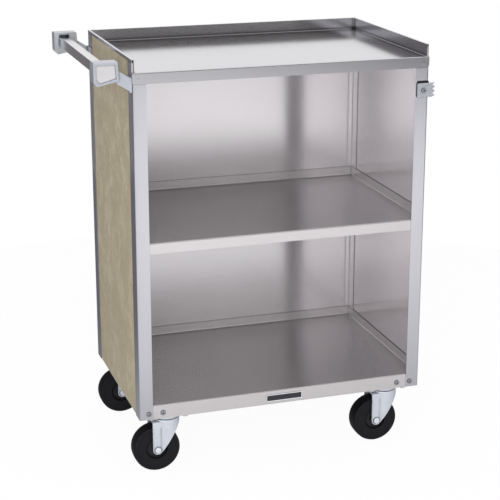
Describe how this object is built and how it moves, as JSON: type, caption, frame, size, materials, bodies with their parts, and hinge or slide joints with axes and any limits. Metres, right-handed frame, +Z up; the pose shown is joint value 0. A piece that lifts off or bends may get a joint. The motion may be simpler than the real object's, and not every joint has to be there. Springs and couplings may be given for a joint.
{
  "type": "utility cart",
  "caption": "Enclosed stainless utility cart with shelves, open front, laminate-clad sides and back, an end push handle and swivel casters.",
  "frame": {"origin": "on the floor, under the middle of the whole cart including its handle", "axes": "+Z up, the open front faces -Y, the push handle is on the -X end"},
  "size_m": [0.723, 0.429, 0.889],
  "materials": {
    "stainless": "brushed stainless sheet",
    "panel_steel": "brushed stainless sheet",
    "laminate": "mottled beige vinyl laminate",
    "handle_steel": "brushed stainless square tube",
    "cast_metal": "satin grey die casting",
    "insert": "satin blank insert",
    "zinc_plate": "bright zinc plated steel",
    "screw_steel": "bright steel",
    "nameplate": "dark blank plate with a bright border",
    "rubber": "black rubber pad",
    "hub": "black moulded plastic",
    "tyre": "black hard rubber"
  },
  "bodies": {
    "cart": {"top_shelf": "stainless", "middle_shelf": "stainless", "bottom_shelf": "stainless", "front_left_post": "stainless", "front_right_post": "stainless", "rear_left_post": "stainless", "rear_right_post": "stainless", "left_panel": "panel_steel", "right_panel": "panel_steel", "back_panel": "panel_steel", "left_laminate": "laminate", "right_laminate": "laminate", "back_laminate": "laminate", "left_bolster": "stainless", "right_bolster": "stainless", "base_screws": "screw_steel", "caster_bolts": "zinc_plate", "nameplate": "nameplate", "handle_tube": "handle_steel", "front_handle_bracket": "cast_metal", "rear_handle_bracket": "cast_metal", "front_bracket_insert": "insert", "rear_bracket_insert": "insert", "handle_screws": "screw_steel", "keeper_plate": "zinc_plate", "keeper_pad": "rubber", "keeper_screw": "screw_steel", "front_left_caster_plate": "zinc_plate", "front_left_kingpin": "zinc_plate", "front_left_swivel_balls": "screw_steel", "front_right_caster_plate": "zinc_plate", "front_right_kingpin": "zinc_plate", "front_right_swivel_balls": "screw_steel", "rear_left_caster_plate": "zinc_plate", "rear_left_kingpin": "zinc_plate", "rear_left_swivel_balls": "screw_steel", "rear_right_caster_plate": "zinc_plate", "rear_right_kingpin": "zinc_plate", "rear_right_swivel_balls": "screw_steel"},
    "front_left_caster": {"front_left_fork": "zinc_plate", "front_left_axle": "zinc_plate", "front_left_axle_sleeve": "zinc_plate"},
    "front_left_wheel": {"front_left_wheel_hub": "hub", "front_left_tyre": "tyre"},
    "front_right_caster": {"front_right_fork": "zinc_plate", "front_right_axle": "zinc_plate", "front_right_axle_sleeve": "zinc_plate"},
    "front_right_wheel": {"front_right_wheel_hub": "hub", "front_right_tyre": "tyre"},
    "rear_left_caster": {"rear_left_fork": "zinc_plate", "rear_left_axle": "zinc_plate", "rear_left_axle_sleeve": "zinc_plate"},
    "rear_left_wheel": {"rear_left_wheel_hub": "hub", "rear_left_tyre": "tyre"},
    "rear_right_caster": {"rear_right_fork": "zinc_plate", "rear_right_axle": "zinc_plate", "rear_right_axle_sleeve": "zinc_plate"},
    "rear_right_wheel": {"rear_right_wheel_hub": "hub", "rear_right_tyre": "tyre"}
  },
  "joints": [
    {"name": "front_left_swivel", "type": "hinge", "parent": "cart", "child": "front_left_caster", "pos_m": [-0.2175, -0.164, 0.115], "axis": [0, 0, 1], "continuous": true},
    {"name": "front_left_wheel_spin", "type": "hinge", "parent": "front_left_caster", "child": "front_left_wheel", "pos_m": [-0.2415, -0.164, 0.0508], "axis": [0, 1, 0], "continuous": true},
    {"name": "front_right_swivel", "type": "hinge", "parent": "cart", "child": "front_right_caster", "pos_m": [0.2825, -0.164, 0.115], "axis": [0, 0, 1], "continuous": true},
    {"name": "front_right_wheel_spin", "type": "hinge", "parent": "front_right_caster", "child": "front_right_wheel", "pos_m": [0.2585, -0.164, 0.0508], "axis": [0, 1, 0], "continuous": true},
    {"name": "rear_left_swivel", "type": "hinge", "parent": "cart", "child": "rear_left_caster", "pos_m": [-0.2175, 0.164, 0.115], "axis": [0, 0, 1], "continuous": true},
    {"name": "rear_left_wheel_spin", "type": "hinge", "parent": "rear_left_caster", "child": "rear_left_wheel", "pos_m": [-0.2415, 0.164, 0.0508], "axis": [0, 1, 0], "continuous": true},
    {"name": "rear_right_swivel", "type": "hinge", "parent": "cart", "child": "rear_right_caster", "pos_m": [0.2825, 0.164, 0.115], "axis": [0, 0, 1], "continuous": true},
    {"name": "rear_right_wheel_spin", "type": "hinge", "parent": "rear_right_caster", "child": "rear_right_wheel", "pos_m": [0.2585, 0.164, 0.0508], "axis": [0, 1, 0], "continuous": true}
  ]
}
